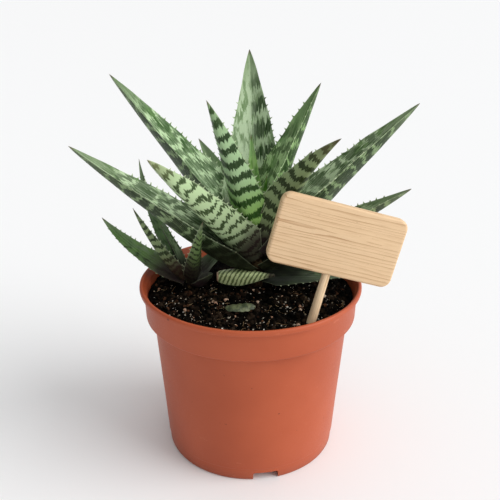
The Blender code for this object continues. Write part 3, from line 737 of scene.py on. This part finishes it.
def grow(name, z, turn, rise, curl, sweep, length, arm, fold, roll, thick, stem, cut_at, **look):
    """A leaf in its place, with its own skin, standing for the CAD leaf of the same name."""
    seed = sum(ord(c) for c in name) % 97
    leaf = {
        "name": name + "_blade", "z": z, "turn": turn, "rise": rise, "curl": curl, "sweep": sweep,
        "length": length, "arm": arm, "fold": fold, "roll": roll, "thick": thick, "stem": stem,
        "cut": cut_at, "seed": seed, "bare": look.pop("bare", 0.16), "last_tooth": look.pop("last_tooth", 0.86),
        "neck": look.pop("neck", 0.5), "neck_share": look.pop("neck_share", NECK_SHARE),
        "round_end": look.pop("round_end", 1.0), "edge_line": look.pop("edge_line", 0.42),
    }
    piece = leaf_piece(leaf)
    piece.data.materials.append(
        leaf_skin(name + "_skin", {**PLAIN_LOOK, "length": length, "seed": float(seed), **look})
    )
    keep(piece, name)
    return piece


YOUNG = {
    "outer": FAINT, "inner": FAINT, "pale": rgb(112, 150, 74), "dark": rgb(78, 118, 48),
    "green": rgb(96, 138, 60), "milk": rgb(176, 204, 138), "deep": rgb(66, 104, 42),
    "base_depth": 0.0, "bare": 0.1, "veil_depth": 0.1, "blotch": 0.5,
}
grow("leaf_heart_young", 134, 112, 84, 0, 0, 40, 6, 35, 0, 2.0, MAIN, 1.0, **YOUNG)
grow("leaf_heart_bud", 133, -20, 84, 0, 0, 22, 4, 35, 0, 1.6, MAIN, 1.0, **YOUNG)
grow("leaf_back_tall", 126, 91, 59, 0, 6, 99, 20, 27, -16, 4.0, MAIN, 1.0,
     inner={**BOLD, "Pitch": 12.0, "Dark Share": 0.5, "Frayed": 0.4}, half=-1.0, other_half=0.0, patch=0.95,
     plain=0.04, last_tooth=0.7, green=rgb(110, 134, 94), milk=rgb(182, 196, 172), deep=rgb(44, 70, 32),
     blotch=0.9, veil_colour=rgb(128, 146, 114), veil=0.42, veil_depth=0.3)
grow("leaf_right_upper", 125, 17, 69, -5, 10, 81, 19, 47, 2, 4.0, MAIN, 1.0,
     outer={**BLOTCHED, "Dark Share": 0.8}, pale=rgb(140, 164, 120), dark=rgb(40, 66, 26),
     green=rgb(96, 132, 70), milk=rgb(182, 202, 162), deep=rgb(44, 74, 28), veil_colour=rgb(96, 114, 80))
grow("leaf_left_upright", 121, 240, 66, -8, 0, 90, 14, 33, 7, 4.0, MAIN, 1.0,
     outer={**BOLD, "Pitch": 8.4, "Frayed": 0.3, "Wave": 0.14, "Dark Share": 0.5}, comb=0.06, spread=0.0,
     pale=rgb(158, 180, 148), dark=rgb(32, 58, 18), fresh_pale=rgb(146, 180, 112), fresh_dark=rgb(36, 76, 12),
     fresh_depth=1.0, veil_colour=rgb(70, 92, 52), veil_depth=0.5, base_reach=8.0, base_depth=0.6)
grow("leaf_left_upper", 115, 158, 46, -2, -6, 120, 21, 43, 0, 6.0, MAIN, 1.0,
     outer={**BLOTCHED, "Dark Share": 0.74}, inner={**STREAKED, "Dark Share": 0.6}, half=-1.0, plain=0.05,
     last_tooth=0.7, green=rgb(96, 126, 78), milk=rgb(186, 202, 174), deep=rgb(54, 86, 40), blotch=0.9,
     pale=rgb(134, 154, 118), dark=rgb(36, 58, 26))
grow("leaf_right_front", 114, -40, 68, -28, -5, 85, 16, 35, -28, 4.0, MAIN, 1.0,
     outer={**BOLD, "Pitch": 7.4, "Frayed": 0.32, "Broken": 0.2}, comb=0.06, spread=0.0,
     pale=rgb(138, 152, 118), dark=rgb(46, 60, 28), veil_colour=rgb(104, 98, 70), veil_depth=0.7)
grow("leaf_right_long", 110, 13, 42, -2, 6, 116.5, 21, 45, 0, 7.0, MAIN, 1.0,
     outer={**BLOTCHED, "Dark Share": 0.76}, inner={**STREAKED, "Dark Share": 0.56}, half=1.0, other_half=0.5,
     plain=0.05, last_tooth=0.7, green=rgb(102, 126, 82), milk=rgb(184, 196, 172), deep=rgb(52, 76, 36),
     blotch=0.85, pale=rgb(132, 150, 116), dark=rgb(38, 56, 26))
grow("leaf_left_front", 107, 215, 51, -15, 35, 105, 17, 34, 20, 4.5, MAIN, 1.0,
     outer=FINE, comb=0.06, spread=0.3, edge_line=0.55, pale=rgb(174, 190, 158), dark=rgb(56, 74, 40), veil_colour=rgb(118, 120, 90),
     veil_depth=0.7, base_reach=28.0, base=rgb(54, 36, 42))
grow("leaf_rear_left", 110, 122, 42, -4, 0, 78, 17, 40, 0, 5.0, MAIN, 1.0)
grow("leaf_rear_right", 106, 58, 38, 0, 0, 76, 17, 40, 0, 5.0, MAIN, 1.0)
# Its near-black green base is painted shade deep in the rosette.
grow("leaf_left_long", 102, 196, 37, 2.5, -12.5, 115.5, 19, 41, -14, 7.0, MAIN, 1.0,
     outer={**BLOTCHED, "Dark Share": 0.74}, inner={**STREAKED, "Dark Share": 0.6}, half=-1.0, plain=0.05,
     last_tooth=0.72, base_reach=40.0, pale=rgb(136, 154, 120), dark=rgb(34, 52, 24), blotch=0.85,
     green=rgb(100, 124, 82), milk=rgb(178, 192, 166), deep=rgb(50, 74, 36), base=rgb(34, 36, 26))
# Its near-black green base is painted shade deep in the rosette.
grow("leaf_right_low", 102, -6, 29, 5, 0, 90, 17, 45, 8, 5.5, MAIN, 1.0,
     outer={**BLOTCHED, "Dark Share": 0.74}, inner={**STREAKED, "Dark Share": 0.6}, plain=0.14,
     base_reach=45.0, pale=rgb(136, 152, 116), dark=rgb(36, 50, 24), green=rgb(96, 118, 78),
     milk=rgb(176, 188, 160), deep=rgb(48, 68, 34), base=rgb(34, 34, 26))
grow("leaf_rear_low", 99, 92, 24, 6, 0, 57, 15, 38, 0, 5.0, MAIN, 1.0)
grow("leaf_front_stub", 99.4, 183, 1, 0, 0, 60, 8.2, 40, 132, 3.4, FRONT, 0.52,
     outer={**FINE, "Pitch": 2.2, "Slant": 0.2, "Dark Share": 0.44, "Frayed": 0.1, "Wave": 0.16}, neck=0.14,
     neck_share=0.36, round_end=0.4, edge_line=0.3, comb=0.06, pale=rgb(204, 214, 174), dark=rgb(108, 124, 84), base_reach=6.0,
     tip=rgb(196, 166, 148), tip_reach=1.3, bare=2.0, veil_depth=0.0)
# Its near-black base is painted shade under the rosette.
grow("leaf_soil_right", 96, -4, 2, 2, 3, 54, 11, 18, 20, 4.0, MAIN, 1.0,
     outer=BLOTCHED, pale=rgb(86, 104, 72), dark=rgb(34, 46, 28), milk=rgb(98, 116, 84), green=rgb(54, 72, 42),
     deep=rgb(32, 46, 22), base_reach=34.0, base=rgb(16, 16, 12))

# The pup: a side shoot at the left, with narrow leaves that are darker and purple at their bases.

grow("pup_leaf_tall", 96, 137, 40, 1, -33, 80, 6, 34, -20, 2.6, PUP, 1.0,
     pale=rgb(84, 112, 70), dark=rgb(48, 72, 40), outer=FAINT, inner=FAINT, green=rgb(66, 94, 52),
     milk=rgb(104, 130, 88))
grow("pup_leaf_front", 93, 286, 62, -3, 6, 52, 6.5, 36, 3, 2.4, PUP, 1.0,
     outer={**FINE, "Pitch": 3.2}, comb=0.08, pale=rgb(116, 136, 94), dark=rgb(40, 54, 30), base=rgb(42, 24, 36),
     base_reach=24.0)
grow("pup_leaf_left_upper", 95, 182, 50, 18, 18, 50, 7, 30, 30, 2.6, PUP, 1.0,
     outer={**BLOTCHED, "Pitch": 3.8, "Dark Share": 0.5}, inner={**BLOTCHED, "Pitch": 3.8}, comb=0.1,
     pale=rgb(134, 148, 114), dark=rgb(50, 66, 38), base=rgb(74, 56, 52))
grow("pup_leaf_dark", 95, 138, 59, -14, 0, 33, 5, 42, 9, 2.0, PUP, 1.0,
     outer=FAINT, pale=rgb(66, 54, 52), dark=rgb(40, 30, 34), base=rgb(46, 30, 40), veil_depth=0.2)
grow("pup_leaf_left_low", 93, 168, 24, 4, -34, 63, 9, 32, -20, 3.0, PUP, 1.0,
     outer=FAINT, inner=FAINT, pale=rgb(92, 96, 74), dark=rgb(60, 48, 48), green=rgb(80, 114, 56),
     milk=rgb(110, 140, 84), deep=rgb(36, 60, 22), base=rgb(74, 54, 64), base_reach=28.0)
grow("pup_leaf_right_stub", 93, 40, 34, 0, 0, 40, 8, 30, 0, 3.0, PUP, 0.62,
     outer=FAINT, inner=FAINT, pale=rgb(56, 74, 52), dark=rgb(34, 48, 32), tip=rgb(46, 54, 40), bare=2.0)
grow("pup_leaf_right_low", 92, -34, 34, 14, 0, 20, 7, 34, 10, 2.6, PUP, 0.76,
     outer=FAINT, inner=FAINT, pale=rgb(52, 72, 48), dark=rgb(34, 48, 30), tip=rgb(44, 54, 38), bare=2.0)


# The leaf scrap: a torn end of leaf that has dried a little where it lies on the soil.

deselect_all()
bpy.ops.mesh.primitive_uv_sphere_add(segments=48, ring_count=24, radius=1.0)
scrap = bpy.context.object
scrap.name = scrap.data.name = "scrap_of_leaf"
for vertex in scrap.data.vertices:
    x, y, z = vertex.co
    turn = Vector((x, y)).angle_signed(Vector((1, 0)), 0.0) if abs(x) + abs(y) > 1e-6 else 0.0
    torn = 1.0 + (0.12 * sin(turn * 11) + 0.06 * sin(turn * 23 + 1)) * max(0.0, cos(turn)) ** 0.5
    px = -5.5 + 7.6 * x * torn
    py = -25.0 + 4.7 * y * (1 - 0.25 * x)
    flat = x * x + y * y
    arch = soil_height(px, py) + 1.6 + 1.6 * (1 - min(1.0, flat))
    vertex.co = Vector((px, py, arch + 0.75 * z + 0.2 * sin(px * 1.9))) * MM
smooth_by_angle(scrap, 60)
material, tree, shader = new_material("scrap_skin")
place = object_place(tree)
blotch = noise_node(tree, place, 420.0, 3.0)
side = add_node(tree, "ShaderNodeSeparateXYZ", {"Vector": place}).outputs["Y"]
green = blend_colour(tree, span(tree, blotch, 0.35, 0.65), rgb(60, 70, 46), rgb(112, 120, 84))
green = blend_colour(tree, span(tree, side, -0.0225, -0.0205, 0.0, 0.6), green, rgb(166, 160, 96))
tree.links.new(green, shader.inputs["Base Color"])
shader.inputs["Roughness"].default_value = 0.5
tree.links.new(raised(tree, blotch, 0.4, 0.0004), shader.inputs["Normal"])
scrap.data.materials.append(material)
keep(scrap, "leaf_scrap")


# The plant label: a planed pale board with round corners, left bare, on a turned dowel stake whose
# pointed end is pushed into the soil beside the pot's wall.

STAKE_FOOT = Vector((30.3, -36.7, 90.0))
LABEL_TURN = (
    Matrix.Rotation(radians(6), 4, "Z") @ Matrix.Rotation(radians(-6), 4, "X") @ Matrix.Rotation(radians(16), 4, "Y")
)
LABEL_UP = LABEL_TURN @ Vector((0, 0, 1))


def on_stake(along):
    return Matrix.Translation((STAKE_FOOT + LABEL_UP * along) * MM) @ LABEL_TURN


deselect_all()
bpy.ops.mesh.primitive_cube_add(size=1.0, scale=(0.064, 0.0062, 0.0352))
bpy.ops.object.transform_apply(location=False, rotation=False, scale=True)
board = bpy.context.object
board.name = board.data.name = "label_face"
bpy.ops.object.mode_set(mode="EDIT")
bpy.ops.mesh.select_all(action="DESELECT")
corners = bmesh.from_edit_mesh(board.data)
for edge in corners.edges:
    a, b = edge.verts
    edge.select_set(abs(a.co.y - b.co.y) > 0.004)
bmesh.update_edit_mesh(board.data)
bpy.ops.mesh.bevel(offset=0.0048, segments=10, affect="EDGES")
bpy.ops.mesh.select_all(action="DESELECT")
corners = bmesh.from_edit_mesh(board.data)
for edge in corners.edges:
    a, b = edge.verts
    edge.select_set(a.co.y * b.co.y > 0 and len(edge.link_faces) == 2 and edge.calc_face_angle(0) > 1.2)
bmesh.update_edit_mesh(board.data)
bpy.ops.mesh.bevel(offset=0.0013, segments=5, affect="EDGES")
bpy.ops.object.mode_set(mode="OBJECT")
deselect_all()
bpy.ops.mesh.primitive_cylinder_add(vertices=32, radius=0.00235, depth=0.0145, location=(0, 0, -0.0132))
bpy.ops.object.transform_apply(location=True, rotation=False, scale=False)
cut(board, bpy.context.object)
smooth_by_angle(board, 35)
board_place = on_stake(44)
board.data.transform(board_place)

stake = spun_shell(
    "label_dowel",
    ((0.0, -40.0), (0.4, -39.8), (2.6, -31.0)) + tuple((2.6 - 0.5 * k / 12, -31 + 54.4 * k / 12) for k in range(1, 13))
    + ((2.1, 36.6), (1.8, 37.3), (0.0, 37.4)),
    40,
)
stake.data.transform(on_stake(0))
smooth_by_angle(stake, 40)


def wood_material(name, scale_across, pale, dark):
    """Planed softwood: the material, and the place in the board's own frame from which finish_wood draws growth lines
    along the board.
    """
    material, tree, shader = new_material(name)
    inverse = board_place.inverted()
    place = add_node(
        tree,
        "ShaderNodeMapping",
        {
            "Vector": object_place(tree),
            "Location": inverse.to_translation(),
            "Rotation": inverse.to_euler("XYZ"),
        },
    ).outputs[0]
    parts = add_node(tree, "ShaderNodeSeparateXYZ", {"Vector": place}).outputs
    return material, tree, shader, parts, place


def finish_wood(material, tree, shader, along, across, depth, pale, dark, line):
    def grid_place(stretch_along, stretch_across, shift):
        return add_node(
            tree,
            "ShaderNodeCombineXYZ",
            {
                "X": math_node(tree, "MULTIPLY", along, stretch_along),
                "Y": math_node(tree, "MULTIPLY", across, stretch_across),
                "Z": math_node(tree, "MULTIPLY", depth, shift),
            },
        ).outputs[0]

    drift = noise_node(tree, grid_place(7.0, 150.0, 150.0), 1.0, 3.0)
    ring = math_node(tree, "ADD", math_node(tree, "MULTIPLY", across, line), math_node(tree, "MULTIPLY", drift, 5.2))
    saw = math_node(tree, "FRACT", ring)
    late = math_node(tree, "POWER", saw, 5.0)
    fibre = noise_node(tree, grid_place(90.0, 4200.0, 4200.0), 1.0, 3.0, 0.6)
    fleck = noise_node(tree, grid_place(260.0, 2600.0, 2600.0), 1.0, 2.0)
    cloud = noise_node(tree, grid_place(30.0, 90.0, 90.0), 1.0, 2.0)
    tone = blend_colour(tree, span(tree, cloud, 0.3, 0.7, 0.0, 0.55), pale, rgb(232, 200, 160))
    strength = span(tree, noise_node(tree, grid_place(40.0, 500.0, 500.0), 1.0, 2.0), 0.3, 0.7, 0.35, 0.95)
    tone = blend_colour(tree, math_node(tree, "MULTIPLY", late, strength), tone, dark)
    tone = blend_colour(tree, span(tree, fibre, 0.45, 0.75, 0.0, 0.3), tone, dark)
    tone = blend_colour(tree, span(tree, fleck, 0.66, 0.76, 0.0, 0.55), tone, rgb(150, 108, 66))
    tree.links.new(tone, shader.inputs["Base Color"])
    tree.links.new(span(tree, fibre, 0.3, 0.7, 0.5, 0.66), shader.inputs["Roughness"])
    relief = math_node(tree, "SUBTRACT", math_node(tree, "MULTIPLY", fibre, 0.6), math_node(tree, "MULTIPLY", late, 0.5))
    tree.links.new(raised(tree, relief, 0.35, 0.0003), shader.inputs["Normal"])
    return material


board_parts = wood_material("board_pine", 1.0, None, None)
board.data.materials.append(
    finish_wood(
        board_parts[0], board_parts[1], board_parts[2], board_parts[3]["X"], board_parts[3]["Z"],
        board_parts[3]["Y"], rgb(232, 198, 156), rgb(168, 118, 70), 480.0,
    )
)
stake_parts = wood_material("stake_birch", 1.0, None, None)
stake.data.materials.append(
    finish_wood(
        stake_parts[0], stake_parts[1], stake_parts[2], stake_parts[3]["Z"], stake_parts[3]["X"],
        stake_parts[3]["Y"], rgb(238, 212, 174), rgb(200, 164, 120), 900.0,
    )
)
keep(board, "label_board")
keep(stake, "label_stake")


# The photograph's set: a pale seamless floor, a large soft light at the upper right, and a camera
# a little above the plant.

deselect_all()
bpy.ops.mesh.primitive_plane_add(size=14.0, location=(0, 4.5, 0))
floor = bpy.context.object
floor.name = "studio_floor"
material, tree, shader = new_material("pale_floor")
shader.inputs["Base Color"].default_value = (0.93, 0.93, 0.93, 1.0)
shader.inputs["Roughness"].default_value = 0.9
floor.data.materials.append(material)


key = bpy.data.lights.new("window_light", "SUN")
key.energy = 2.2
key.angle = radians(50)
key_stand = bpy.data.objects.new("window_light", key)
bpy.context.scene.collection.objects.link(key_stand)
key_stand.rotation_euler = Vector((-0.83, 0.25, -0.5)).to_track_quat("-Z", "Y").to_euler()

# The room is a little brighter overhead and to the right, where the window is.
world = bpy.data.worlds.new("studio_world")
bpy.context.scene.world = world
world.use_nodes = True
tree = world.node_tree
sky = tree.nodes["Background"]
sky.inputs["Color"].default_value = (0.985, 0.992, 1.0, 1.0)
way = add_node(
    tree, "ShaderNodeSeparateXYZ", {"Vector": add_node(tree, "ShaderNodeTexCoord").outputs["Generated"]}
).outputs
overhead = math_node(tree, "MULTIPLY_ADD", way["Z"], 0.52, 0.34, clamp=True)
tree.links.new(math_node(tree, "MULTIPLY_ADD", way["X"], 0.34, overhead), sky.inputs["Strength"])

camera = bpy.data.objects.new("camera", bpy.data.cameras.new("camera"))
bpy.context.scene.collection.objects.link(camera)
camera.data.sensor_width = 36.0
camera.data.lens = 52.42
camera.data.clip_start = 0.01
camera.location = (-0.00032, -0.360, 0.263)
camera.rotation_euler = (radians(67.5), 0.0, 0.0)
bpy.context.scene.camera = camera
bpy.context.scene.view_settings.view_transform = "Standard"
